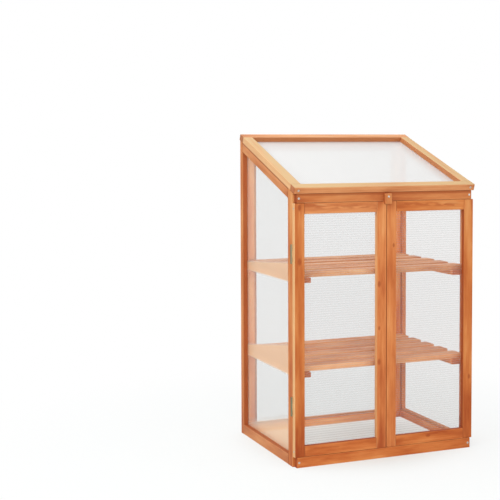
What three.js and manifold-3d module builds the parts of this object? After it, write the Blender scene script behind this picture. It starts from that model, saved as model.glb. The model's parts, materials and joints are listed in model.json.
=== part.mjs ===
// Wooden mini greenhouse: glazed side and rear frames, two glazed front doors on butt hinges,
// a turn button that holds them shut, a sloping glazed lid hinged at the back, and two slatted shelves.
// Millimetres. X runs to the right, Y to the back and Z up. Y starts at the front face of the doors here,
// and the whole group is moved at the end so that its origin is under the middle of the object.

import * as THREE from "three";
import { mergeVertices } from "three/addons/utils/BufferGeometryUtils.js";
import Module from "manifold-3d";

const wasm = await Module();
wasm.setup();

// Cabinet
const cabinetWidth = 700;
const cabinetDepth = 527;
const frontHeight = 938;
const rearHeight = 1121.5;

// Timber sections
const sideFrameThickness = 22;
const frontPostWidth = 38;
const rearPostWidth = 27;
const sideRailHeight = 36;
const slopedRailHeight = 34;
const rearFrameThickness = 20;
const rearStileWidth = 36;
const rearRailHeight = 36;
const topRailHeight = 30;
const bottomRailHeight = 36;
const frontRailInset = 8;
const easedEdge = 1.5;

// Doors
const doorThickness = 20;
const doorStileWidth = 37;
const doorRailHeight = 37;
const doorEndGap = 1;
const doorMeetingGap = 2;
const doorBackGap = 1;

// Twin-wall glazing and the rebates that hold it
const sheetThickness = 4;
const sheetSkin = 0.5;
const sheetRib = 0.5;
const sheetPitch = 10;
const rebateDepth = 4.6;
const rebateWidth = 9;
const sheetEdgeGap = 1.5;

// Lid
const lidOverhang = 2;
const lidThickness = 23;
const lidRailWidth = 36;
const lidRest = 0.5;

// Shelves
const shelfTops = { lower: 342, upper: 668 };
const slatCount = 5;
const slatWidth = 62;
const slatThickness = 18;
const slatEndGap = 1;
const shelfFront = 34;
const shelfRear = 498;
const cleatWidth = 48;
const cleatHeight = 18;
const cleatFront = 23;
const cleatRearGap = 2;

// Butt hinges
const hingeHeight = 65;
const leafWidth = 18;
const leafThickness = 1.5;
const leafMortiseGap = 0.2;
const knuckleRadius = 3.2;
const knuckleGap = 0.4;
const pinRadius = 1.4;
const pinClearance = 0.2;
const pinHeadRadius = 2.2;
const pinHeadHeight = 1;
const leafHoleRadius = 2;
const leafHoleInset = 10;
const doorHingeInset = 173;
const lidHingeSpacing = 440;

// Turn button
const buttonWidth = 26;
const buttonLength = 38.5;
const buttonThickness = 14;
const buttonCorner = 5;
const buttonEdge = 1.5;
const buttonPivotDrop = 12;
const buttonStandoff = 0.6;
const buttonRailInset = 2.5;
const pivotRadius = 2;
const pivotClearance = 0.25;
const pivotHeadRadius = 4.2;
const pivotHeadHeight = 2.2;
const pivotDepth = 14;

// Countersunk screw seats
const screwSeatRadius = 4.5;
const screwSeatTip = 1;
const screwSeatDepth = 2.6;
const railScrewInset = 8;
const lidScrewInset = 15.5;

// Working clearances and smoothness
const seatGap = 0.3;
const overrun = 5;
const cornerSteps = 2;
const barrelSides = 16;
const holeSides = 8;

// Planes worked out from the sizes above
const halfWidth = cabinetWidth / 2;
const innerHalfWidth = halfWidth - sideFrameThickness;
const postFront = doorThickness + doorBackGap;
const postRear = postFront + frontPostWidth;
const rearPostFront = cabinetDepth - rearPostWidth;
const rearFrameFront = cabinetDepth - rearFrameThickness;
const slope = Math.atan2(rearHeight - frontHeight, cabinetDepth);
const topRailBottom = frontHeight - topRailHeight;
const doorBottom = bottomRailHeight + doorEndGap;
const doorTop = topRailBottom - doorEndGap;
const pivotHeight = frontHeight - buttonRailInset - buttonPivotDrop;
const lidWidth = cabinetWidth + 2 * lidOverhang;
const lidLength = (cabinetDepth + lidRest * Math.sin(slope)) / Math.cos(slope);
const hingeOffset = seatGap + knuckleRadius;
const frontReach = buttonStandoff + buttonThickness + pivotHeadHeight;
const rearReach = cabinetDepth + hingeOffset + knuckleRadius;

// Materials
const wood = { color: 0xc87846, roughness: 0.62, metalness: 0 };
const paleWood = { color: 0xd98f5a, roughness: 0.62, metalness: 0 };
const polycarbonate = { color: 0xeef1f1, roughness: 0.3, metalness: 0, transparent: true, opacity: 0.55 };
const zincSteel = { color: 0xb7b48a, roughness: 0.35, metalness: 0.9 };

const root = new THREE.Group();
root.position.y = (frontReach - rearReach) / 2;

function add(group, name, look, geometry) {
  const mesh = new THREE.Mesh(geometry, new THREE.MeshStandardMaterial(look));
  mesh.name = name;
  group.add(mesh);
  return mesh;
}

// Booleans
function toSolid(geometry) {
  const bare = geometry.clone();
  bare.deleteAttribute("normal");
  bare.deleteAttribute("uv");
  const merged = mergeVertices(bare);
  return new wasm.Manifold(
    new wasm.Mesh({
      numProp: 3,
      vertProperties: merged.attributes.position.array,
      triVerts: Uint32Array.from(merged.index.array),
    }),
  );
}

function toGeometry(solid) {
  const { vertProperties, triVerts } = solid.getMesh();
  const geometry = new THREE.BufferGeometry();
  geometry.setAttribute("position", new THREE.BufferAttribute(Float32Array.from(vertProperties), 3));
  geometry.setIndex(new THREE.BufferAttribute(Uint32Array.from(triVerts), 1));
  const faceted = geometry.toNonIndexed();
  faceted.computeVertexNormals();
  return faceted;
}

function join(...geometries) {
  return toGeometry(geometries.map(toSolid).reduce((sum, next) => sum.add(next)));
}

function cut(geometry, ...tools) {
  return toGeometry(tools.map(toSolid).reduce((rest, tool) => rest.subtract(tool), toSolid(geometry)));
}

// Outlines and solids
function roundedRectangle([x0, x1], [y0, y1], radius) {
  const shape = new THREE.Shape();
  shape.moveTo(x0 + radius, y0);
  shape.lineTo(x1 - radius, y0);
  shape.quadraticCurveTo(x1, y0, x1, y0 + radius);
  shape.lineTo(x1, y1 - radius);
  shape.quadraticCurveTo(x1, y1, x1 - radius, y1);
  shape.lineTo(x0 + radius, y1);
  shape.quadraticCurveTo(x0, y1, x0, y1 - radius);
  shape.lineTo(x0, y0 + radius);
  shape.quadraticCurveTo(x0, y0, x0 + radius, y0);
  return shape;
}

const unitX = new THREE.Vector3(1, 0, 0);
const unitY = new THREE.Vector3(0, 1, 0);
const unitZ = new THREE.Vector3(0, 0, 1);

// For each grain direction: the two axes of the section, and the turn that lays an extrusion along it
const grains = {
  x: { section: ["y", "z"], turn: new THREE.Matrix4().makeBasis(unitY, unitZ, unitX) },
  y: { section: ["z", "x"], turn: new THREE.Matrix4().makeBasis(unitZ, unitX, unitY) },
  z: { section: ["x", "y"], turn: new THREE.Matrix4() },
};

const ordered = (span) => [Math.min(...span), Math.max(...span)];

// Moves both ends of a span outwards, or inwards where by is negative.
const grow = ([from, to], by) => (from < to ? [from - by, to + by] : [from + by, to - by]);

function extrudeAlong(grain, shape, span) {
  const [from, to] = ordered(span);
  const options = { depth: to - from, bevelEnabled: false, curveSegments: cornerSteps };
  const geometry = new THREE.ExtrudeGeometry(shape, options);
  geometry.translate(0, 0, from);
  geometry.applyMatrix4(grains[grain].turn);
  return geometry;
}

// A straight board with its four long edges eased. Each span is [from, to] along its axis.
function board(grain, spans) {
  const [across, up] = grains[grain].section;
  const shape = roundedRectangle(ordered(spans[across]), ordered(spans[up]), easedEdge);
  return extrudeAlong(grain, shape, spans[grain]);
}

function block({ x, y, z }) {
  const [x0, x1] = ordered(x);
  const [y0, y1] = ordered(y);
  const [z0, z1] = ordered(z);
  const geometry = new THREE.BoxGeometry(x1 - x0, y1 - y0, z1 - z0);
  geometry.translate((x0 + x1) / 2, (y0 + y1) / 2, (z0 + z1) / 2);
  return geometry;
}

// A cylinder or cone between two points
function rod(sides, from, to, startRadius, endRadius = startRadius) {
  const axis = new THREE.Vector3().subVectors(to, from);
  const geometry = new THREE.CylinderGeometry(endRadius, startRadius, axis.length(), sides);
  geometry.translate(0, axis.length() / 2, 0);
  geometry.applyQuaternion(new THREE.Quaternion().setFromUnitVectors(unitY, axis.clone().normalize()));
  geometry.translate(from.x, from.y, from.z);
  return geometry;
}

// A countersunk seat that opens at a point of a face and narrows into the wood
function screwSeat(mouth, inward) {
  const flare = (screwSeatRadius - screwSeatTip) / screwSeatDepth;
  const outer = mouth.clone().addScaledVector(inward, -overrun);
  const tip = mouth.clone().addScaledVector(inward, screwSeatDepth);
  return rod(holeSides, outer, tip, screwSeatRadius + overrun * flare, screwSeatTip);
}

// Takes away everything above the sloping plane of the roof, lowered square to itself by drop.
function cutToSlope(geometry, drop = 0) {
  const reach = cabinetDepth + rearHeight;
  const above = block({ x: [-reach, reach], y: [-reach, reach], z: [0, reach] });
  above.translate(0, 0, -drop);
  above.applyMatrix4(new THREE.Matrix4().makeRotationX(slope));
  above.translate(0, 0, frontHeight);
  return cut(geometry, above);
}

// A twin-wall sheet: two skins joined by ribs, with open channels that run along the grain.
// thin names the axis of its thickness, and the channels are spaced along the third axis.
function twinWall(grain, thin, spans) {
  const wide = ["x", "y", "z"].find((axis) => axis !== grain && axis !== thin);
  const [from, to] = ordered(spans[wide]);
  const channels = Math.floor((to - from - sheetRib) / sheetPitch);
  const margin = (to - from - channels * sheetPitch + sheetRib) / 2;
  const hollows = Array.from({ length: channels }, (_, i) => {
    const start = from + margin + i * sheetPitch;
    return block({
      [grain]: grow(ordered(spans[grain]), overrun),
      [thin]: grow(ordered(spans[thin]), -sheetSkin),
      [wide]: [start, start + sheetPitch - sheetRib],
    });
  });
  return cut(block(spans), ...hollows);
}

// Side frames: two posts, a bottom rail and a sloping top rail round one sheet, rebated from the inside.
function sideFrame(side, name) {
  const x = [side * halfWidth, side * innerHalfWidth];
  const opening = { y: [postRear, rearPostFront], z: [sideRailHeight, rearHeight] };
  const seat = cutToSlope(
    block({
      x: [side * (innerHalfWidth + rebateDepth), side * (innerHalfWidth - overrun)],
      y: grow(opening.y, rebateWidth),
      z: grow(opening.z, rebateWidth),
    }),
    slopedRailHeight - rebateWidth,
  );
  const upright = { z: [0, rearHeight + frontPostWidth] };
  const between = grow(opening.y, -seatGap);

  const frontPost = cut(
    cutToSlope(board("z", { x, y: [postFront, postRear], ...upright })),
    seat,
    ...[-1, 1].map((end) => leafMortise(side, end, [postFront - overrun, postFront + mortiseDepth])),
  );
  add(root, `${name}_front_post`, wood, frontPost);

  const rearPost = cut(cutToSlope(board("z", { x, y: [rearPostFront, cabinetDepth], ...upright })), seat);
  add(root, `${name}_rear_post`, wood, rearPost);

  const bottomRail = cut(board("y", { x, y: between, z: [0, sideRailHeight] }), seat);
  add(root, `${name}_bottom_rail`, wood, bottomRail);

  add(root, `${name}_sloped_rail`, wood, cut(slopedRail(x, between), seat));

  const sheet = twinWall("z", "x", {
    x: [side * (innerHalfWidth + rebateDepth - seatGap), side * (innerHalfWidth + sheetInset)],
    y: grow(opening.y, rebateWidth - sheetEdgeGap),
    z: grow(opening.z, rebateWidth - sheetEdgeGap),
  });
  const sheetDrop = slopedRailHeight - rebateWidth + sheetEdgeGap;
  add(root, `${name}_side_panel`, polycarbonate, cutToSlope(sheet, sheetDrop));
}

// How far a sheet's inner face lies inside its frame's inner face
const sheetInset = rebateDepth - seatGap - sheetThickness;

// The board under the sloping plane, with plumb ends
function slopedRail(x, [yFront, yRear]) {
  const long = cabinetDepth / Math.cos(slope);
  const rail = board("y", { x, y: [0, long], z: [-slopedRailHeight, 0] });
  rail.applyMatrix4(new THREE.Matrix4().makeRotationX(slope));
  rail.translate(0, 0, frontHeight);
  const reach = { x: grow(x, overrun), z: [0, rearHeight + slopedRailHeight] };
  const front = block({ ...reach, y: [-overrun - slopedRailHeight, yFront] });
  const rear = block({ ...reach, y: [yRear, cabinetDepth + slopedRailHeight + overrun] });
  return cut(rail, front, rear);
}

// Rear frame: it stands between the side frames, and its top follows the slope.
function rearFrame() {
  const y = [rearFrameFront, cabinetDepth];
  const outer = innerHalfWidth - seatGap;
  const inner = outer - rearStileWidth;
  const topRailBottomEdge = frontHeight + rearFrameFront * Math.tan(slope) - rearRailHeight;
  const opening = { x: [-inner, inner], z: [rearRailHeight, topRailBottomEdge] };
  const seat = block({
    x: grow(opening.x, rebateWidth),
    y: [rearFrameFront - overrun, rearFrameFront + rebateDepth],
    z: grow(opening.z, rebateWidth),
  });
  for (const [name, side] of [["left", -1], ["right", 1]]) {
    const stile = board("z", { x: [side * inner, side * outer], y, z: [0, rearHeight + rearRailHeight] });
    add(root, `rear_${name}_stile`, wood, cut(cutToSlope(stile), seat));
  }
  const x = grow(opening.x, -seatGap);
  const topRail = board("x", { x, y, z: [topRailBottomEdge, rearHeight + rearRailHeight] });
  add(root, "rear_top_rail", wood, cut(cutToSlope(topRail), seat));
  add(root, "rear_bottom_rail", wood, cut(board("x", { x, y, z: [0, rearRailHeight] }), seat));
  const sheet = twinWall("z", "y", {
    x: grow(opening.x, rebateWidth - sheetEdgeGap),
    y: [rearFrameFront + sheetInset, rearFrameFront + rebateDepth - seatGap],
    z: grow(opening.z, rebateWidth - sheetEdgeGap),
  });
  add(root, "rear_panel", polycarbonate, sheet);
}

// Front rails: planted on the posts, flush with the doors. The top one is bevelled to the slope.
function frontRails() {
  const x = [frontRailInset - halfWidth, halfWidth - frontRailInset];
  const y = [0, postFront - seatGap];
  const seats = (z) =>
    x.map((end) => screwSeat(new THREE.Vector3(end - Math.sign(end) * railScrewInset, 0, z), unitY));
  const topRail = board("x", { x, y, z: [topRailBottom, frontHeight + topRailHeight] });
  const pilotEnd = new THREE.Vector3(0, pivotDepth + pivotClearance, pivotHeight);
  const pilotMouth = new THREE.Vector3(0, -overrun, pivotHeight);
  const pilot = rod(barrelSides, pilotMouth, pilotEnd, pivotRadius + pivotClearance);
  const topSeats = seats(topRailBottom + topRailHeight / 2);
  add(root, "front_top_rail", wood, cut(cutToSlope(topRail), pilot, ...topSeats));
  const bottomRail = board("x", { x, y, z: [0, bottomRailHeight] });
  add(root, "front_bottom_rail", wood, cut(bottomRail, ...seats(bottomRailHeight / 2)));
}

// Doors: each has two full-height stiles with rails between them round one sheet.
function door(side, name) {
  const outer = side * halfWidth;
  const inner = side * doorMeetingGap / 2;
  const outerEdge = outer - side * doorStileWidth;
  const innerEdge = inner + side * doorStileWidth;
  const y = [0, doorThickness];
  const z = [doorBottom, doorTop];
  const opening = { x: ordered([outerEdge, innerEdge]), z: grow(z, -doorRailHeight) };
  const seat = block({
    x: grow(opening.x, rebateWidth),
    y: [doorThickness - rebateDepth, doorThickness + overrun],
    z: grow(opening.z, rebateWidth),
  });
  const railMiddles = grow(z, -doorRailHeight / 2);
  const seats = (x, inward) =>
    railMiddles.map((middle) => screwSeat(new THREE.Vector3(x, doorThickness / 2, middle), inward));
  const inwards = unitX.clone().multiplyScalar(-side);
  const outwards = unitX.clone().multiplyScalar(side);

  const outerStile = cut(
    board("z", { x: [outer, outerEdge], y, z }),
    seat,
    ...seats(outer, inwards),
    ...[-1, 1].map((end) => leafMortise(side, end, [doorThickness - mortiseDepth, doorThickness + overrun])),
  );
  add(root, `${name}_door_outer_stile`, wood, outerStile);
  const innerStile = cut(board("z", { x: [inner, innerEdge], y, z }), seat, ...seats(inner, outwards));
  add(root, `${name}_door_inner_stile`, wood, innerStile);

  const x = grow(opening.x, -seatGap);
  const topRail = board("x", { x, y, z: [doorTop - doorRailHeight, doorTop] });
  add(root, `${name}_door_top_rail`, wood, cut(topRail, seat));
  const bottomRail = board("x", { x, y, z: [doorBottom, doorBottom + doorRailHeight] });
  add(root, `${name}_door_bottom_rail`, wood, cut(bottomRail, seat));

  const sheet = twinWall("x", "y", {
    x: grow(opening.x, rebateWidth - sheetEdgeGap),
    y: [doorThickness - rebateDepth + seatGap, doorThickness - sheetInset],
    z: grow(opening.z, rebateWidth - sheetEdgeGap),
  });
  add(root, `${name}_door_panel`, polycarbonate, sheet);
}

// Butt hinges. A leaf lies along +X of its own frame, and its barrel turns about Z of that frame.
// near is the plate's first face on Y. The fixed leaf has the end knuckles and the pin.
const knuckleHeight = (hingeHeight - 2 * knuckleGap) / 3;
const knuckleStarts = [0, 1, 2].map((i) => i * (knuckleHeight + knuckleGap) - hingeHeight / 2);

function hingeLeaf(isFixed, near) {
  const y = [near, near + leafThickness];
  const z = [-hingeHeight / 2, hingeHeight / 2];
  const plate = block({ x: [knuckleRadius + knuckleGap, leafWidth], y, z });
  const starts = knuckleStarts.filter((_, i) => (i === 1) !== isFixed);
  const along = (z) => new THREE.Vector3(0, 0, z);
  const knuckles = starts.flatMap((start) => [
    block({ x: [0, knuckleRadius + 2 * knuckleGap], y, z: [start, start + knuckleHeight] }),
    rod(barrelSides, along(start), along(start + knuckleHeight), knuckleRadius),
  ]);
  const top = hingeHeight / 2;
  const pin = [
    rod(holeSides, along(-top), along(top), pinRadius),
    rod(holeSides, along(top - leafThickness), along(top + pinHeadHeight), pinHeadRadius, pinRadius),
    rod(holeSides, along(leafThickness - top), along(-top - pinHeadHeight), pinHeadRadius, pinRadius),
  ];
  const hole = rod(holeSides, along(-hingeHeight), along(hingeHeight), pinRadius + pinClearance);
  const holeX = (knuckleRadius + leafWidth) / 2;
  const screwHoles = [leafHoleInset - top, 0, top - leafHoleInset].map((height) => {
    const through = new THREE.Vector3(0, overrun, 0);
    const middle = new THREE.Vector3(holeX, 0, height);
    return rod(holeSides, middle.clone().sub(through), middle.clone().add(through), leafHoleRadius);
  });
  const body = isFixed ? join(plate, ...knuckles, ...pin) : cut(join(plate, ...knuckles), hole);
  return cut(body, ...screwHoles);
}

// Door hinges: the leaves lie in shallow mortises between the stile and the post, the barrel outside them.
const hingeHeights = [doorBottom + doorHingeInset, doorTop - doorHingeInset];
const jointPlane = doorThickness + doorBackGap / 2;
const mortiseDepth = leafThickness + seatGap / 2 + leafMortiseGap - doorBackGap / 2;

function leafMortise(side, end, y) {
  const [lower, upper] = hingeHeights;
  const height = end < 0 ? lower : upper;
  const reach = halfWidth + hingeOffset + knuckleGap - seatGap - leafWidth - leafMortiseGap;
  return block({
    x: [side * reach, side * (halfWidth + overrun)],
    y,
    z: grow([height - hingeHeight / 2, height + hingeHeight / 2], leafMortiseGap),
  });
}

function doorHinges(side, name) {
  hingeHeights.forEach((height, i) => {
    const hinge = new THREE.Group();
    hinge.position.set(side * (halfWidth + knuckleRadius + knuckleGap), jointPlane, height);
    hinge.rotation.y = side > 0 ? Math.PI : 0;
    root.add(hinge);
    const place = i ? "upper" : "lower";
    add(hinge, `${name}_door_${place}_hinge_fixed_leaf`, zincSteel, hingeLeaf(true, seatGap / 2));
    const movingNear = -seatGap / 2 - leafThickness;
    add(hinge, `${name}_door_${place}_hinge_moving_leaf`, zincSteel, hingeLeaf(false, movingNear));
  });
}

// Lid: rails over its full width at the front and back, side rails between them, rebated from below.
// Its group is turned to the slope, so Y runs up the slope and Z stands square to it.
const lid = new THREE.Group();
lid.rotation.x = slope;
lid.position.set(0, -lidRest * Math.sin(slope), frontHeight + lidRest * Math.cos(slope));
root.add(lid);

function lidFrame() {
  const x = [-lidWidth / 2, lidWidth / 2];
  const z = [0, lidThickness];
  const opening = { x: grow(x, -lidRailWidth), y: [lidRailWidth, lidLength - lidRailWidth] };
  const seat = block({
    x: grow(opening.x, rebateWidth),
    y: grow(opening.y, rebateWidth),
    z: [-overrun, rebateDepth],
  });
  const seats = (y, inward) =>
    grow(x, -lidScrewInset).map((end) => screwSeat(new THREE.Vector3(end, y, lidThickness / 2), inward));
  const frontRail = board("x", { x, y: [0, lidRailWidth], z });
  add(lid, "lid_front_rail", paleWood, cut(frontRail, seat, ...seats(0, unitY)));
  const rearRail = board("x", { x, y: [lidLength - lidRailWidth, lidLength], z });
  add(lid, "lid_rear_rail", paleWood, cut(rearRail, seat, ...seats(lidLength, unitY.clone().negate())));
  for (const [name, side] of [["left", -1], ["right", 1]]) {
    const across = [side * lidWidth / 2, side * (lidWidth / 2 - lidRailWidth)];
    const rail = board("y", { x: across, y: grow(opening.y, -seatGap), z });
    add(lid, `lid_${name}_rail`, paleWood, cut(rail, seat));
  }
  const sheet = twinWall("y", "z", {
    x: grow(opening.x, rebateWidth - sheetEdgeGap),
    y: grow(opening.y, rebateWidth - sheetEdgeGap),
    z: [sheetInset, rebateDepth - seatGap],
  });
  add(lid, "lid_panel", polycarbonate, sheet);
}

// Lid hinges: one leaf on the back of the rear frame, one on the back edge of the lid. The barrel touches
// both planes, so it stands where they meet, half way between their directions.
function lidHinges() {
  const rise = hingeOffset * Math.tan(slope / 2);
  const lidRearHeight = frontHeight + (cabinetDepth * Math.sin(slope) + lidRest) / Math.cos(slope);
  for (const [name, side] of [["left", -1], ["right", 1]]) {
    const x = side * lidHingeSpacing / 2;
    const fixed = new THREE.Group();
    fixed.position.set(x, cabinetDepth + hingeOffset, lidRearHeight + rise);
    fixed.rotation.y = Math.PI / 2;
    root.add(fixed);
    add(fixed, `lid_${name}_hinge_fixed_leaf`, zincSteel, hingeLeaf(true, -knuckleRadius));
    const moving = new THREE.Group();
    moving.position.set(x, lidLength + hingeOffset, -rise);
    moving.rotation.y = -Math.PI / 2;
    lid.add(moving);
    add(moving, `lid_${name}_hinge_moving_leaf`, zincSteel, hingeLeaf(false, -knuckleRadius));
  }
}

// Turn button: it hangs on a pan-head screw in the top rail and covers the heads of both doors.
function turnButton() {
  const back = -buttonStandoff;
  const front = back - buttonThickness;
  const z = [pivotHeight + buttonPivotDrop - buttonLength, pivotHeight + buttonPivotDrop];
  const shape = roundedRectangle(z, [-buttonWidth / 2, buttonWidth / 2], buttonCorner);
  const geometry = new THREE.ExtrudeGeometry(shape, {
    depth: buttonThickness - 2 * buttonEdge,
    bevelThickness: buttonEdge,
    bevelSize: buttonEdge,
    bevelOffset: -buttonEdge,
    bevelSegments: cornerSteps,
    curveSegments: 2 * cornerSteps,
  });
  geometry.translate(0, 0, front + buttonEdge);
  geometry.applyMatrix4(grains.y.turn);
  const at = (y) => new THREE.Vector3(0, y, pivotHeight);
  const hole = rod(barrelSides, at(front - overrun), at(overrun), pivotRadius + pivotClearance);
  add(root, "turn_button", wood, cut(geometry, hole));
  const headBack = front - seatGap;
  const headFront = -frontReach;
  const screw = join(
    rod(barrelSides, at(pivotDepth), at(headBack), pivotRadius),
    rod(barrelSides, at(headBack), at(headFront), pivotHeadRadius, pivotHeadRadius - pivotHeadHeight / 2),
  );
  add(root, "turn_button_screw", zincSteel, screw);
}

// Shelves: slats across two cleats that run along the side frames
function shelf(name, top) {
  const slatLength = 2 * (innerHalfWidth - slatEndGap);
  const pitch = (shelfRear - shelfFront - slatWidth) / (slatCount - 1);
  for (let i = 0; i < slatCount; i++) {
    const front = shelfFront + i * pitch;
    const slat = board("x", {
      x: [-slatLength / 2, slatLength / 2],
      y: [front, front + slatWidth],
      z: [top - slatThickness, top],
    });
    add(root, `${name}_shelf_slat_${i + 1}`, wood, slat);
  }
  const cleatTop = top - slatThickness - seatGap;
  for (const [sideName, side] of [["left", -1], ["right", 1]]) {
    const cleat = board("y", {
      x: [side * (innerHalfWidth - seatGap), side * (innerHalfWidth - cleatWidth)],
      y: [cleatFront, rearFrameFront - cleatRearGap],
      z: [cleatTop - cleatHeight, cleatTop],
    });
    add(root, `${name}_shelf_${sideName}_cleat`, wood, cleat);
  }
}

// Assembly
sideFrame(-1, "left");
sideFrame(1, "right");
rearFrame();
frontRails();
door(-1, "left");
door(1, "right");
doorHinges(-1, "left");
doorHinges(1, "right");
lidFrame();
lidHinges();
turnButton();
shelf("lower", shelfTops.lower);
shelf("upper", shelfTops.upper);

export default root;
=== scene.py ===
import json
import math

import bpy
from mathutils import Matrix, Vector


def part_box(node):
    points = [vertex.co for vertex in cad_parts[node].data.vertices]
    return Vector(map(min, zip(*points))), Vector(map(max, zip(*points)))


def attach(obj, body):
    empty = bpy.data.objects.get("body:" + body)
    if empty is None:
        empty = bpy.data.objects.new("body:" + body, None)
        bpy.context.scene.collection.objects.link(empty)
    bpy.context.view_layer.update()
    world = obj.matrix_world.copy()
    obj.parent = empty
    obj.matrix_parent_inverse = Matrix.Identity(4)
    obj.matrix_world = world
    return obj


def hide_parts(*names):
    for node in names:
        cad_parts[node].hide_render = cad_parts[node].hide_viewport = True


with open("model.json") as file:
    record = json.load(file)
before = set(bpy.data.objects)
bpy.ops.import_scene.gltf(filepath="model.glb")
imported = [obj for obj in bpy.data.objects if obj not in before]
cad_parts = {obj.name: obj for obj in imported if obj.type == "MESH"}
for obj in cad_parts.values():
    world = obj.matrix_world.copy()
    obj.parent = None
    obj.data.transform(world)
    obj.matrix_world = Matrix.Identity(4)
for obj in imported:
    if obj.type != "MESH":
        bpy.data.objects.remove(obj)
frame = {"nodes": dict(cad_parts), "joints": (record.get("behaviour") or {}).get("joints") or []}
nodes = frame["nodes"]
joints = {joint["name"]: joint for joint in frame["joints"]}
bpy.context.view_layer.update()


# Camera
# A long lens at the height of the roof, to the left of the doors, that looks down a little. The shift
# keeps the uprights nearly parallel and puts the greenhouse low and to the right in the picture.
lens = bpy.data.cameras.new("camera")
lens.sensor_width = 36
lens.lens = 81.27
lens.shift_x = -0.0793
lens.shift_y = -0.09
lens.clip_end = 60
camera = bpy.data.objects.new("camera", lens)
bpy.context.scene.collection.objects.link(camera)
camera.location = (-1.8324, -3.7546, 1.112)
camera.rotation_euler = (math.radians(86.832), math.radians(0.123), math.radians(-22.737))
bpy.context.scene.camera = camera
bpy.context.scene.view_settings.view_transform = "Standard"


# Studio
# A white floor in a white surround, and four large soft lamps: from the left, from the front, from above
# and a weak one from the right.
def lamp(name, place, aim_height, size, power):
    """A round lamp that looks at a point over the middle of the greenhouse's foot."""
    light = bpy.data.lights.new(name, "AREA")
    light.shape = "DISK"
    light.size = size
    light.energy = power
    made = bpy.data.objects.new(name, light)
    bpy.context.scene.collection.objects.link(made)
    made.location = place
    way = Vector((0, 0, aim_height)) - Vector(place)
    made.rotation_euler = way.to_track_quat("-Z", "Y").to_euler()


lamp("lamp_left", (-3.4, -2.2, 2.6), aim_height=0.6, size=2.4, power=60)
lamp("lamp_front", (-1.6, -4.4, 1.9), aim_height=0.6, size=2.2, power=50)
lamp("lamp_above", (-0.5, 0.3, 4.0), aim_height=0.8, size=2.6, power=62)
lamp("lamp_right", (2.6, -3.0, 1.8), aim_height=0.5, size=2.4, power=20)


class Wire:
    """A shader socket that takes part in Python sums, and from which further nodes are made."""

    def __init__(self, tree, socket=None):
        self.tree = tree
        self.socket = socket

    def node(self, kind, settings=None, sockets=None, output=0):
        """A new node, by its type, its settings and the values or wires of its sockets."""
        made = self.tree.nodes.new("ShaderNode" + kind)
        for name, value in (settings or {}).items():
            if name == "stops":
                ramp = made.color_ramp.elements
                while len(ramp) < len(value):
                    ramp.new(0.5)
                for stop, (position, colour) in zip(ramp, value):
                    stop.position = position
                    stop.color = (*colour, 1)
            else:
                setattr(made, name, value)
        for name, value in (sockets or {}).items():
            if isinstance(value, Wire):
                self.tree.links.new(value.socket, made.inputs[name])
            else:
                made.inputs[name].default_value = value
        return Wire(self.tree, made.outputs[output])

    def maths(self, operation, first, second=0.0):
        return self.node("Math", {"operation": operation}, {0: first, 1: second})

    def __add__(self, other):
        return self.maths("ADD", self, other)

    def __sub__(self, other):
        return self.maths("SUBTRACT", self, other)

    def __rsub__(self, other):
        return self.maths("SUBTRACT", other, self)

    def __mul__(self, other):
        return self.maths("MULTIPLY", self, other)

    def __truediv__(self, other):
        return self.maths("DIVIDE", self, other)

    def __rtruediv__(self, other):
        return self.maths("DIVIDE", other, self)

    def __pow__(self, other):
        return self.maths("POWER", self, other)

    def __rpow__(self, other):
        return self.maths("POWER", other, self)

    def __abs__(self):
        return self.maths("ABSOLUTE", self)

    __radd__ = __add__
    __rmul__ = __mul__

    def fraction(self):
        return self.maths("FRACT", self)

    def least(self, other):
        return self.maths("MINIMUM", self, other)

    def most(self, other):
        return self.maths("MAXIMUM", self, other)

    def axis(self, name):
        """The X, Y or Z of a vector."""
        return self.node("SeparateXYZ", {}, {0: self}, name)

    def rise(self, low, high):
        """0 up to low and 1 from high on, or the other way round where high is the lower of the two."""
        return self.node("MapRange", {"interpolation_type": "SMOOTHSTEP"}, {"Value": self, 1: low, 2: high})

    def blend(self, first, second):
        """The first colour where this is 0, and the second where it is 1."""
        return self.node("Mix", {"data_type": "RGBA"}, {0: self, 6: first, 7: second}, 2)


def new_material(name):
    """An empty material, and its Object coordinates as a wire."""
    material = bpy.data.materials.new(name)
    material.use_nodes = True
    material.node_tree.nodes.clear()
    return material, Wire(material.node_tree).node("TexCoord", output="Object")


def put_on(material, shader):
    """The shader becomes the surface of the material."""
    output = material.node_tree.nodes.new("ShaderNodeOutputMaterial")
    material.node_tree.links.new(shader.socket, output.inputs["Surface"])


def seen_by_eye(tree):
    """1 for what is seen straight, in a mirror or through glass, and 0 for light that falls on things."""
    start = Wire(tree)
    seen = start.node("LightPath", output="Is Camera Ray")
    seen = seen.most(start.node("LightPath", output="Is Glossy Ray"))
    return seen.most(start.node("LightPath", output="Is Transmission Ray"))


# The surround looks white, which is a strength of 1, and lights the greenhouse with less than that.
SURROUND_LIGHT = 0.58
world = bpy.data.worlds.new("surround")
bpy.context.scene.world = world
world.use_nodes = True
background = world.node_tree.nodes["Background"]
background.inputs["Color"].default_value = (1, 1, 1, 1)
strength = seen_by_eye(world.node_tree) * (1 - SURROUND_LIGHT) + SURROUND_LIGHT
world.node_tree.links.new(strength.socket, background.inputs["Strength"])

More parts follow.
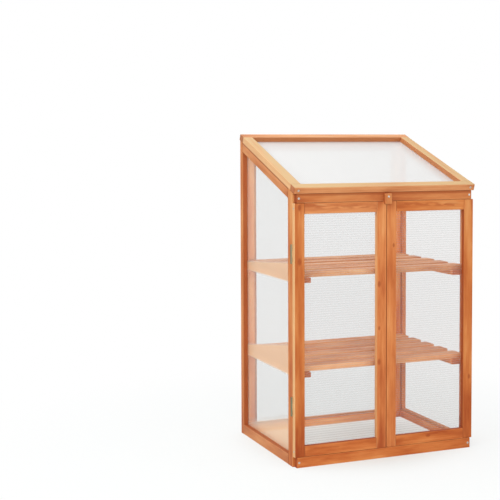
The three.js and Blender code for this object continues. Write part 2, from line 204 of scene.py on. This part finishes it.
# The floor takes the shadow most strongly under the greenhouse, and glows white from 1.6 m away on.
bpy.ops.object.select_all(action="DESELECT")
bpy.ops.mesh.primitive_grid_add(x_subdivisions=4, y_subdivisions=4, size=40, location=(0, 0, 0))
floor = bpy.context.object
floor.name = "floor"
material, place = new_material("floor_white")
paper = place.node("BsdfDiffuse", {}, {"Color": (0.77, 0.84, 0.82, 1)})
glow = place.node("Emission", {}, {"Color": (1, 1, 1, 1), "Strength": 1.0})
away = place.node("VectorMath", {"operation": "LENGTH"}, {0: place}, "Value")
whiter = away.rise(0.2, 0.5) * 0.5 + away.rise(0.5, 1.6) * 0.2 + 0.3
put_on(material, place.node("MixShader", {}, {0: seen_by_eye(place.tree) * whiter, 1: paper, 2: glow}))
floor.data.materials.append(material)


# Side frames
# Each side is a front post, a rear post, a bottom rail and a rail under the slope of the lid, planed from
# fir, jointed, and brushed with a red-brown garden stain that the grain and the knots show through.
LID_RISE, LID_RUN = 0.1835, 0.527
SLOPE = math.atan2(LID_RISE, LID_RUN)

# The stain from dark to pale: place on the ramp, colour when fresh, colour when bleached by the sun.
STAIN = (
    (0.20, (0.38, 0.066, 0.014), (0.58, 0.24, 0.08)),
    (0.42, (0.545, 0.143, 0.034), (0.68, 0.36, 0.16)),
    (0.58, (0.64, 0.205, 0.056), (0.73, 0.43, 0.22)),
    (0.80, (0.75, 0.340, 0.120), (0.80, 0.55, 0.32)),
)
PALEST = 0.9
KNOT_BROWN = (0.30, 0.052, 0.014, 1)
SHADOW_LINE = (0.33, 0.075, 0.018, 1)
RUBBED_AND_LIT_EDGE = (0.82, 0.49, 0.23, 1)
SILVERED_AND_LIT = (0.54, 0.375, 0.18, 1)
RINGS_ACROSS, RINGS_THROUGH = 210.0, 120.0
THIN_STREAK = 0.006


def measured_from(point, place, tilt):
    """Place, measured from point along the axes of a piece that lies on the slope tilt."""
    moved = place.node("VectorMath", {"operation": "SUBTRACT"}, {0: place, 1: point})
    if tilt:
        moved = moved.node("VectorRotate", {"rotation_type": "X_AXIS"}, {"Vector": moved, "Angle": -tilt})
    return moved


def half_sizes(half, tilt, plumb):
    """Half the sizes of a board along its own axes, from half the sizes of the box round it. The ends of
    a board on a slope are plumb, or else square to its length."""
    cosine, sine = math.cos(tilt), math.sin(tilt)
    if plumb:
        return Vector((half.x, half.y / cosine, half.z * cosine - half.y * sine))
    shrink = math.cos(2 * tilt)
    along, off = half.y * cosine - half.z * sine, half.z * cosine - half.y * sine
    return Vector((half.x, along / shrink, off / shrink))


def stained_fir(
    name, grain, seed, bleach=0.0, tone=0.0, lift=1.0, knots=(), streaks=(), inner=0, rubbed_lit_edge=0,
    shadow_width=0.0, drop=0.0, under=False, silvered_lit_top=0.0, tilt=0.0, plumb=False
):
    """Stained fir for one CAD board. All lengths are in metres.

    grain: the axis that the fibres run along.
    bleach, tone, lift: how bleached the stain is, how far the board moves along its colours, and how much
        lighter it is than they are.
    knots: (place along the board, place across it, radius), from its middle.
    streaks: (start, end, place across the board, width), from its middle. Thin ones are pale.
    inner, rubbed_lit_edge: which edge of the wide side is darkened, as painted shade in the reveal, and
    which one is rubbed paler, with a painted highlight. The sign says which of the two it is, and the
    size how much.
    shadow_width, drop: width of the painted shadow line under the board that lies on this one, and how far
        under the top of this one's box the line starts.
    under, silvered_lit_top: whether a painted shadow line runs along the foot of the thin side, and how much
        its top is silvered and painted lighter by the light from above.
    tilt, plumb: the slope that the board lies on, and whether its ends are upright all the same.
    """
    low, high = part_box(name)
    half = half_sizes((high - low) / 2, tilt, plumb)
    material, place = new_material(name + "_fir")
    centred = measured_from((low + high) / 2, place, tilt)
    sizes = dict(zip("XYZ", half))
    thin_axis, wide_axis = sorted((axis for axis in "XYZ" if axis != grain), key=lambda axis: sizes[axis])
    along, wide, thick = centred.axis(grain), centred.axis(wide_axis), centred.axis(thin_axis)
    half_long, half_wide, half_thick = sizes[grain], sizes[wide_axis], sizes[thin_axis]

    def noise(lengthwise, crosswise, offset=0.0):
        """Noise that is drawn out along the grain: cells per metre along it and across it."""
        spot = place.node(
            "CombineXYZ",
            {},
            {
                0: along * lengthwise + (seed + offset),
                1: wide * crosswise + seed * 1.7,
                2: thick * crosswise,
            },
        )
        return place.node("TexNoise", {}, {"Vector": spot, "Scale": 1.0, "Detail": 2.0, "Roughness": 0.55})

    # Year rings that wander, and bend round the knots; soft streaks, broad patches and fine fibres.
    knot_cores = []
    wander = noise(3.0, 14.0) * 1.6
    for start, off, radius in knots:
        run = (along - start) * 0.55
        side = wide - off
        reach = (run * run + side * side) ** 0.5
        knot_cores.append(reach.rise(radius * 1.4, radius * 0.5))
        wander = wander + reach.rise(radius * 4.5, radius) * 1.3
    ring = (wide * RINGS_ACROSS + thick * RINGS_THROUGH + wander + seed).fraction()
    late_wood = ring.rise(0.2, 0.9) * ring.rise(1.0, 0.94)
    streak = noise(3.4, 62.0, offset=5.0)
    patch = noise(5.0, 20.0, offset=9.0)
    fibre = noise(26.0, 700.0, offset=2.0)

    tint = streak * 0.50 + patch * 0.80 + fibre * 0.28 - late_wood * 0.06 + (tone - 0.285)
    if grain == "Z":
        # Upright boards are painted darker towards the foot, as painted shade near the floor, and lighter
        # high up.
        tint = tint + along.rise(0.05, 0.45) * 0.09 - along.rise(-0.15, -0.42) * 0.13
    stops = [
        (step, tuple(min((a + (b - a) * bleach) * lift, PALEST) for a, b in zip(fresh, bleached)))
        for step, fresh, bleached in STAIN
    ]
    dark_stain_and_shade = (*(part * 0.92 for part in stops[0][1]), 1)
    pale_stain = (*(min(part * 1.12, PALEST) for part in stops[-1][1]), 1)
    colour = tint.node("ValToRGB", {"stops": stops}, {"Fac": tint})

    # Cut ends drink more stain, the edges inside a frame are darkened as painted shade in the reveals, and
    # the eased edges are rubbed paler.
    from_end = half_long - abs(along)
    soak_and_shade = from_end.rise(0.05, 0.0) * patch.rise(0.56, 0.40) * 0.5 + from_end.rise(0.0012, 0.0003) * 0.8
    if inner:
        edge = (wide * math.copysign(1, inner)).rise(half_wide - 0.0011, half_wide - 0.0004)
        soak_and_shade = soak_and_shade + edge * (0.85 * abs(inner))
    colour = soak_and_shade.least(1.0).blend(colour, dark_stain_and_shade)
    from_edge = (half_wide - abs(wide)).most(half_thick - abs(thick))
    colour = (from_edge.rise(0.0032, 0.0012) * 0.16).blend(colour, pale_stain)
    # Painted highlight on one edge, which is also rubbed paler.
    if rubbed_lit_edge:
        edge = (wide * math.copysign(1, rubbed_lit_edge)).rise(half_wide - 0.0012, half_wide - 0.0003)
        colour = (edge * abs(rubbed_lit_edge)).blend(colour, RUBBED_AND_LIT_EDGE)

    # Silvering and painted light from above on top, and painted shadow lines along the joints with the boards
    # above and below.
    if silvered_lit_top:
        silvered_lit_mask = thick.rise(half_thick - 0.0008, half_thick - 0.0003) * (streak.rise(0.36, 0.52) * 0.4 + 0.55)
        colour = (silvered_lit_mask * silvered_lit_top).blend(colour, SILVERED_AND_LIT)
    # Painted shadow under the board that lies on this one.
    if shadow_width:
        edge = half_wide - drop
        colour = (wide.rise(edge - shadow_width, edge - shadow_width * 0.3) * 0.85).blend(colour, SHADOW_LINE)
    # Painted shadow line along the foot of the thin side.
    if under:
        line = thick.rise(0.0024 - half_thick, 0.0008 - half_thick) * 0.6
        colour = line.blend(colour, SHADOW_LINE)

    # The streaks, which noise breaks up into flames, and the knots.
    for start, end, off, width in streaks:
        reach = abs(along - (start + end) / 2).rise((end - start) * 0.55, (end - start) * 0.35)
        ridge = abs(wide - off + (patch - 0.5) * 0.03).rise(width, width * 0.2)
        flame = reach * ridge * noise(22.0, 90.0, offset=3.0).rise(0.40, 0.56)
        colour = (flame * 0.5).blend(colour, pale_stain if width < THIN_STREAK else dark_stain_and_shade)
    for core in knot_cores:
        colour = (core * 0.68).blend(colour, KNOT_BROWN)

    relief = fibre * 0.4 - late_wood * 0.2
    skin = place.node(
        "BsdfPrincipled",
        {},
        {
            "Base Color": colour,
            "Roughness": 0.46 + fibre * 0.22,
            "Normal": place.node("Bump", {}, {"Height": relief, "Strength": 0.25, "Distance": 0.0003}),
            "Specular IOR Level": 0.14 + bleach * 0.4,
        },
    )
    put_on(material, skin)
    nodes[name].material_slots[0].material = material


stained_fir("left_front_post", "Z", 11.3, bleach=0.05, lift=0.96, inner=1)
stained_fir("left_rear_post", "Z", 17.9, bleach=0.15, inner=-1)
stained_fir("left_bottom_rail", "Y", 23.1, bleach=0.25, inner=1)
# The sloped rails carry a painted shadow line along their top, under the lid.
stained_fir("left_sloped_rail", "Y", 29.7, bleach=0.25, inner=-1, shadow_width=0.0065, tilt=SLOPE, plumb=True)
stained_fir("right_front_post", "Z", 12.3, bleach=0.05, lift=0.96, inner=1)
# The right rear post and bottom rail stand in the shade inside, and are painted lighter against it.
stained_fir("right_rear_post", "Z", 18.9, tone=0.05, lift=1.4)
stained_fir("right_bottom_rail", "Y", 24.1, bleach=0.05, tone=0.05, lift=1.3)
stained_fir("right_sloped_rail", "Y", 30.7, bleach=0.25, inner=-1, shadow_width=0.0065, tilt=SLOPE, plumb=True)


# Rear frame
# Two stiles and two rails stand between the side frames, flush with their backs. The top rail is
# bevelled to the slope of the lid.
# The stiles and the bottom rail stand in the shade inside, and are painted lighter against it.
stained_fir("rear_left_stile", "Z", 31.2, bleach=0.15, tone=0.15, lift=1.2, inner=1)
stained_fir("rear_right_stile", "Z", 37.8, tone=0.1, lift=1.35)
stained_fir("rear_top_rail", "X", 41.5, inner=-1)
stained_fir("rear_bottom_rail", "X", 43.9, bleach=0.25, tone=0.1, lift=1.3)


# Front rails
# A rail over the doors, bevelled to the slope of the lid, and one under them. They are screwed to the
# faces of the posts through countersunk seats, flush with the doors.
# The top rail carries a painted shadow line under the lid's front rail.
stained_fir("front_top_rail", "X", 47.6, bleach=0.1, lift=0.9, shadow_width=0.010, drop=0.0077)
stained_fir("front_bottom_rail", "X", 53.4)


# Screws
# Zinc-plated countersunk wood screws with a cross recess, sunk level with the wood. There are four in
# the front rails, and the eight in the doors and the four in the lid are of the same kind.
BOARD_SCREW = 0.0044  # radius of the head
SINK = 0.0003


def zinc(name, colour, rough, shaded_beyond=None):
    """Zinc plate, with painted shade on what lies further sideways from the greenhouse's middle than a given
    distance.
    """
    material, place = new_material(name)
    cloud = place.node("TexNoise", {}, {"Vector": place, "Scale": 900.0, "Detail": 2.0})
    tint = cloud.blend((*(part * 0.85 for part in colour), 1), (*colour, 1))
    if shaded_beyond:
        # Painted shade on the outer side of the hinge barrels.
        outer = abs(place.axis("X")).rise(shaded_beyond - 0.0007, shaded_beyond + 0.0004)
        tint = outer.blend(tint, (colour[0] * 0.22, colour[1] * 0.25, colour[2] * 0.22, 1))
    skin = place.node(
        "BsdfPrincipled", {}, {"Base Color": tint, "Metallic": 1.0, "Roughness": rough + cloud * 0.15}
    )
    put_on(material, skin)
    return material


screw_zinc = zinc("screw_zinc", (0.58, 0.57, 0.53), 0.34)


def screw_head(radius):
    """One screw head that looks along +Z with its face at the origin: a cone with an eased rim, and two
    slots cut across it."""
    bpy.ops.object.select_all(action="DESELECT")
    bpy.ops.mesh.primitive_cone_add(
        vertices=20, radius1=radius * 0.45, radius2=radius, depth=radius * 0.6, location=(0, 0, -radius * 0.3)
    )
    head = bpy.context.object
    bpy.ops.object.transform_apply()
    bpy.ops.object.modifier_add(type="BEVEL")
    head.modifiers["Bevel"].width = radius * 0.07
    head.modifiers["Bevel"].segments = 2
    bpy.ops.object.modifier_apply(modifier="Bevel")
    for turn in (0, math.pi / 2):
        bpy.ops.object.select_all(action="DESELECT")
        bpy.ops.mesh.primitive_cube_add(size=1, location=(0, 0, 0), rotation=(0, 0, turn))
        slot = bpy.context.object
        slot.scale = (radius * 1.15, radius * 0.22, radius * 0.5)
        bpy.ops.object.transform_apply()
        bpy.ops.object.select_all(action="DESELECT")
        head.select_set(True)
        bpy.context.view_layer.objects.active = head
        bpy.ops.object.modifier_add(type="BOOLEAN")
        head.modifiers["Boolean"].object = slot
        head.modifiers["Boolean"].solver = "EXACT"
        bpy.ops.object.modifier_apply(modifier="Boolean")
        bpy.data.objects.remove(slot)
    return head


def set_screws(name, body, radius, places):
    """Screws of one size as one piece. places holds (middle of the head's face, way that it looks)."""
    first = screw_head(radius)
    heads = [first]
    for _ in places[1:]:
        head = first.copy()
        head.data = first.data.copy()
        bpy.context.scene.collection.objects.link(head)
        heads.append(head)
    bpy.ops.object.select_all(action="DESELECT")
    for number, (head, (point, way)) in enumerate(zip(heads, places)):
        # Each cross is left at another angle.
        turn = Matrix.Rotation(number * 0.7, 4, "Z")
        facing = Vector(way).to_track_quat("Z", "Y").to_matrix().to_4x4()
        head.data.transform(Matrix.Translation(point) @ facing @ turn)
        head.select_set(True)
    bpy.context.view_layer.objects.active = first
    bpy.ops.object.join()
    first.name = name
    bpy.ops.object.shade_smooth_by_angle(angle=math.radians(30))
    first.data.materials.clear()
    first.data.materials.append(screw_zinc)
    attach(first, body)


FROM_RAIL_END = 0.008
rail_screws = []
for sign in (-1, 1):
    for rail, from_foot in (("front_top_rail", 0.015), ("front_bottom_rail", 0.018)):
        low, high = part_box(rail)
        spot = (sign * (high.x - FROM_RAIL_END), low.y + SINK, low.z + from_foot)
        rail_screws.append((spot, (0, -1, 0)))
set_screws("front_rail_screws", "cabinet", BOARD_SCREW, rail_screws)


# Doors
# Each door is two full-height stiles with a rail between them at the top and the bottom. Screws run
# in from the edges of the stiles.
stained_fir(
    "left_door_outer_stile", "Z", 59.3, tone=-0.05, lift=0.90, inner=1, rubbed_lit_edge=-0.8,
    knots=[(0.236, -0.0003, 0.007), (0.420, -0.0003, 0.006)]
)
stained_fir(
    "left_door_inner_stile", "Z", 61.7, bleach=0.08, rubbed_lit_edge=-0.5,
    knots=[(0.1455, -0.0095, 0.006), (-0.129, -0.0095, 0.006), (-0.0097, -0.0095, 0.004)]
)
stained_fir(
    "left_door_top_rail", "X", 67.1, bleach=0.15, lift=0.97, inner=-1,
    streaks=[(-0.10, -0.04, 0.009, 0.005), (-0.13, 0.13, 0.002, 0.010)]
)
stained_fir("left_door_bottom_rail", "X", 71.9, inner=1, streaks=[(-0.12, 0.02, 0.004, 0.007)])
stained_fir(
    "right_door_outer_stile", "Z", 66.3, lift=0.92, inner=-1, rubbed_lit_edge=0.4, knots=[(-0.21, 0.006, 0.005)]
)
stained_fir("right_door_inner_stile", "Z", 68.7, bleach=0.08, inner=-1, knots=[(0.28, 0.008, 0.004)])
stained_fir(
    "right_door_top_rail", "X", 74.1, lift=0.94, inner=-1,
    streaks=[(-0.13, 0.12, 0.006, 0.010), (0.09, 0.13, -0.010, 0.005)]
)
stained_fir(
    "right_door_bottom_rail", "X", 78.9, inner=1, knots=[(-0.007, 0.006, 0.005)],
    streaks=[(-0.02, 0.10, 0.010, 0.007)]
)

FROM_STILE_END = 0.0185
SIDES = (("left", -1), ("right", 1))
for side, sign in SIDES:
    places = []
    for part, way in (("outer", sign), ("inner", -sign)):
        low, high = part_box(side + "_door_" + part + "_stile")
        edge = (high.x if way > 0 else low.x) - way * SINK
        for height in (low.z + FROM_STILE_END, high.z - FROM_STILE_END):
            places.append(((edge, (low.y + high.y) / 2, height), (way, 0, 0)))
    set_screws(side + "_door_screws", side + "_door", BOARD_SCREW, places)


# Door hinges
# Pressed steel butt hinges with a fixed pin, plated zinc with a yellow tint, with painted shade on their
# outer side.
# Their leaves lie in the joint between stile and post, and three small screws hold each leaf.
HINGE_SCREW = 0.0019  # radius of the head
SCREW_ROW = (-0.0225, 0.0, 0.0225)
PIN_TO_SCREWS = 0.0106
PIN_TO_LEAF_FACE = 0.00025
hinge_plating = zinc("hinge_plating", (0.84, 0.80, 0.62), 0.36, abs(joints["left_door_swing"]["pos_m"][0]))
cabinet_leaf_screws = []
for side, sign in SIDES:
    pin = joints[side + "_door_swing"]["pos_m"]
    across = pin[0] - sign * PIN_TO_SCREWS
    door_leaf_screws = []
    for level in ("lower", "upper"):
        hinge = side + "_door_" + level + "_hinge_"
        for part in ("fixed", "moving"):
            nodes[hinge + part + "_leaf"].material_slots[0].material = hinge_plating
        low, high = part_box(hinge + "moving_leaf")
        for step in SCREW_ROW:
            height = (low.z + high.z) / 2 + step
            door_leaf_screws.append(((across, pin[1] - PIN_TO_LEAF_FACE, height), (0, 1, 0)))
            cabinet_leaf_screws.append(((across, pin[1] + PIN_TO_LEAF_FACE, height), (0, -1, 0)))
    set_screws(side + "_door_hinge_screws", side + "_door", HINGE_SCREW, door_leaf_screws)


# Lid
# A front and a rear rail over the full width, and two side rails between them, all on the slope. The
# same stain, which the sky bleaches; on top of all but the rear rail it is silvered and painted lighter by
# the light from above, and painted shadow lines run along the foot of the front and left rails.
LID_CORNER = Vector((0, -0.25862, 0.93847))  # on the lower front edge, before that is eased
LID_LENGTH = 0.55820
LID_THICKNESS = 0.023
FROM_LID_SIDE = 0.0155
stained_fir("lid_front_rail", "X", 83.3, bleach=0.38, inner=1, under=True, silvered_lit_top=0.9, tilt=SLOPE)
stained_fir("lid_rear_rail", "X", 89.6, bleach=0.6, lift=0.93, inner=-1, tilt=SLOPE)
stained_fir("lid_left_rail", "Y", 91.2, bleach=0.6, inner=1, rubbed_lit_edge=-0.6, under=True, silvered_lit_top=0.9, tilt=SLOPE)
stained_fir("lid_right_rail", "Y", 97.7, bleach=0.5, inner=-0.7, silvered_lit_top=0.9, tilt=SLOPE)
up_slope = Vector((0, math.cos(SLOPE), math.sin(SLOPE)))
off_slope = Vector((0, -math.sin(SLOPE), math.cos(SLOPE)))
low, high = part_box("lid_front_rail")
lid_screws = []
for sign in (-1, 1):
    across = Vector((sign * (high.x - FROM_LID_SIDE), 0, 0))
    front = LID_CORNER + across + off_slope * LID_THICKNESS / 2
    lid_screws.append((front + up_slope * SINK, -up_slope))
    lid_screws.append((front + up_slope * (LID_LENGTH - SINK), up_slope))
set_screws("lid_screws", "lid", BOARD_SCREW, lid_screws)


# Lid hinges
# The same butt hinges, turned on their side across the back of the lid. One leaf is screwed to the rear
# rail of the frame and the other to the lid's.
PIN_TO_LID_LEAF_FACE = 0.0018
pin = Vector(joints["lid_open"]["pos_m"])
lid_leaf_screws = []
for side in ("left", "right"):
    hinge = "lid_" + side + "_hinge_"
    for part in ("fixed", "moving"):
        nodes[hinge + part + "_leaf"].material_slots[0].material = hinge_plating
    low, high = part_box(hinge + "fixed_leaf")
    for step in SCREW_ROW:
        across = (low.x + high.x) / 2 + step
        spot = (across, pin.y - PIN_TO_LID_LEAF_FACE, pin.z - PIN_TO_SCREWS)
        cabinet_leaf_screws.append((spot, (0, 1, 0)))
        spot = pin + off_slope * PIN_TO_SCREWS - up_slope * PIN_TO_LID_LEAF_FACE
        lid_leaf_screws.append(((across, spot.y, spot.z), up_slope))
set_screws("lid_hinge_screws", "lid", HINGE_SCREW, lid_leaf_screws)
set_screws("frame_hinge_screws", "cabinet", HINGE_SCREW, cabinet_leaf_screws)


# Turn button
# A small block of the same fir on a pan-head screw in the front top rail. Upright it keeps both doors
# shut, and level it lets them go.
stained_fir("turn_button", "Z", 101.4, bleach=0.1, lift=0.88)
nodes["turn_button_screw"].material_slots[0].material = screw_zinc


# Shelves
# Five planed slats lie across two cleats on each level, with gaps between them for water and air. They
# are paler than the frame.
# The lower shelf, shaded by the upper one, and the cleats under the slats are painted lighter against that
# shade.
for level, seed, lift in (("lower", 103.0, 1.15), ("upper", 131.0, 1.0)):
    for slat in range(1, 6):
        stained_fir(level + "_shelf_slat_" + str(slat), "X", seed + 3.7 * slat, bleach=0.45, lift=lift)
    stained_fir(level + "_shelf_left_cleat", "Y", seed + 23.3, bleach=0.15, lift=1.2)
    stained_fir(level + "_shelf_right_cleat", "Y", seed + 24.3, bleach=0.15, lift=1.2)


# Glazing
# Clear twin-wall polycarbonate, 4 mm thick: two thin skins with a rib every 8 mm, which is what makes
# it milky and draws fine lines across it. Each sheet lies in a rebate of its frame.
RIB_PITCH = 0.008
SHEET_THICKNESS = 0.004
SAG = 0.02
RIB_VEIL = (0.66, 0.655, 0.645, 1)
REFLECTED_WOOD = (0.89, 0.54, 0.29, 1)

# Where the painted reflection of the wood behind a side sheet lies. For the bottom board: its top, the soft
# edge under that, and how much lower it gets per metre to the back. For each shelf: its bottom, its top, and
# the same.
BOARD_TOP, BOARD_SOFT_EDGE, BOARD_FALL = 0.135, 0.070, 0.28
SHELF_REFLECTIONS = ((0.300, 0.390, 0.16), (0.626, 0.689, 0.085))


def polycarbonate(
    name, ribs, start, tilt=0.0, milkiness=0.13, lines=1.2, wood_reflection=0.0, shade=0.24,
    haze=(0.72, 0.72, 0.713), fall=0.0
):
    """Twin-wall plastic.

    ribs, start, tilt: the axis that the ribs are spaced along, the point that they are counted from, and
        the slope that the sheet lies on.
    milkiness: share of the view that is hidden square on. More is hidden the more slanting the view.
    lines: how strongly the ribs show.
    wood_reflection: how strongly a painted reflection of the boards and shelves behind the sheet colours it.
    shade, haze: how pale what hides the view is, square on and on the slant.
    fall: how much milkier the sheet is at its foot, which darkens it there as painted shade.
    """
    material, place = new_material(name)
    cell = (measured_from(start, place, tilt).axis(ribs) / RIB_PITCH).fraction()
    rib = cell.least(1 - cell).rise(0.22, 0.04)
    slant = place.node("LayerWeight", {}, {"Blend": 0.5}, "Facing")
    square = (1 - slant).most(0.12)
    passed = 1 - milkiness
    if fall:
        # Painted shade: the sheet hides more towards its foot, and looks darker there.
        passed = passed - place.axis("Z").rise(0.95, 0.30) * fall
    clear = passed ** (0.5 / square * (1 + rib * lines))

    # A sheet passes most of the light that falls on it, also the part that it scatters.
    lit = place.node("LightPath", output="Is Shadow Ray")
    lit = lit.most(place.node("LightPath", output="Is Diffuse Ray"))
    hidden = (1 - clear) * (1 - lit)
    veil = slant.rise(0.05, 0.65).blend((shade, shade, shade, 1), (*haze, 1))
    veil = (rib * lines).blend(veil, RIB_VEIL)
    # Painted reflection of the bottom board and the shelves at their heights, which also hides more there.
    if wood_reflection:
        height, depth = place.axis("Z"), place.axis("Y")
        reflection_mask = (height + depth * BOARD_FALL).rise(BOARD_TOP, BOARD_TOP - BOARD_SOFT_EDGE)
        for bottom, top, fall_back in SHELF_REFLECTIONS:
            shelf = height.rise(bottom, bottom + 0.007)
            shelf = shelf * (height + depth * fall_back).rise(top, top - 0.012)
            reflection_mask = reflection_mask.most(shelf * 0.85)
        veil = (reflection_mask * wood_reflection).blend(veil, REFLECTED_WOOD)
        hidden = (hidden * (1 + reflection_mask * 3.0 * wood_reflection)).least(0.9)
    skin = place.node(
        "BsdfPrincipled",
        {},
        {"Base Color": veil, "Roughness": 0.3, "IOR": 1.58, "Specular IOR Level": 0.35, "Alpha": hidden},
    )
    put_on(material, skin)
    return material


def sheet(name, node, body, ribs, length, tilt=0.0, **finish):
    """The sheet of one frame, in the place of its CAD node. Its ribs are spaced along the axis ribs and
    run along the axis length, at the slope tilt. finish is what its plastic differs in."""
    low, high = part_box(node)
    size, centre = high - low, (low + high) / 2
    across, along = (size["XYZ".index(axis)] for axis in (ribs, length))
    along = (along - SHEET_THICKNESS * math.sin(tilt)) / math.cos(tilt)
    columns = 2 * round(across / RIB_PITCH)
    bpy.ops.object.select_all(action="DESELECT")
    bpy.ops.mesh.primitive_grid_add(x_subdivisions=columns, y_subdivisions=2, size=1)
    made = bpy.context.object
    made.name = name
    made.scale = (across, along, 1)
    bpy.ops.object.transform_apply()
    bpy.ops.object.modifier_add(type="SOLIDIFY")
    made.modifiers["Solidify"].thickness = SHEET_THICKNESS
    made.modifiers["Solidify"].offset = 0
    bpy.ops.object.modifier_apply(modifier="Solidify")

    # The skins sag a little between the ribs.
    for vertex in made.data.vertices:
        if round((vertex.co.x + across / 2) * columns / across) % 2:
            vertex.co.z *= 1 - SAG

    # The sheet is made flat. Its width, length and face turn to the way that it stands.
    ways = [Vector([float(other == axis) for other in "XYZ"]) for axis in (ribs, length)]
    turn = Matrix.Rotation(tilt, 3, "X") @ Matrix((*ways, ways[0].cross(ways[1]))).transposed()
    made.data.transform(Matrix.Translation(centre) @ turn.to_4x4())
    first_rib = centre - turn @ Vector((across / 2, 0, 0))
    made.data.materials.append(polycarbonate(name + "_polycarbonate", ribs, first_rib, tilt, **finish))
    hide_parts(node)
    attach(made, body)
    return made


for side in ("left", "right"):
    sheet(side + "_door_glazing", side + "_door_panel", side + "_door", "Z", "X")

sheet("rear_glazing", "rear_panel", "cabinet", "X", "Z", lines=0.2, fall=0.05)

for side, finish in (
    # The left sheet carries a painted reflection of the wood behind it.
    ("left", {"milkiness": 0.12, "lines": 0.15, "wood_reflection": 0.9, "haze": (0.68, 0.68, 0.673)}),
    # The right sheet's haze is darker and browner, painted shade for the weaker light on that side.
    ("right", {"milkiness": 0.06, "lines": 0.15, "haze": (0.29, 0.21, 0.15), "fall": 0.03}),
):
    glazing = sheet(side + "_glazing", side + "_side_panel", "cabinet", "Y", "Z", **finish)
    # The top of a side sheet is sawn to the slope.
    low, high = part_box(side + "_side_panel")
    bpy.ops.object.select_all(action="DESELECT")
    glazing.select_set(True)
    bpy.context.view_layer.objects.active = glazing
    bpy.ops.object.mode_set(mode="EDIT")
    bpy.ops.mesh.select_all(action="SELECT")
    bpy.ops.mesh.bisect(
        plane_co=(0, high.y, high.z), plane_no=off_slope, use_fill=True, clear_outer=True, clear_inner=False
    )
    bpy.ops.object.mode_set(mode="OBJECT")

sheet(
    "lid_glazing", "lid_panel", "lid", "X", "Y", tilt=SLOPE,
    milkiness=0.56, lines=0.1, shade=0.5, haze=(0.62, 0.62, 0.614)
)
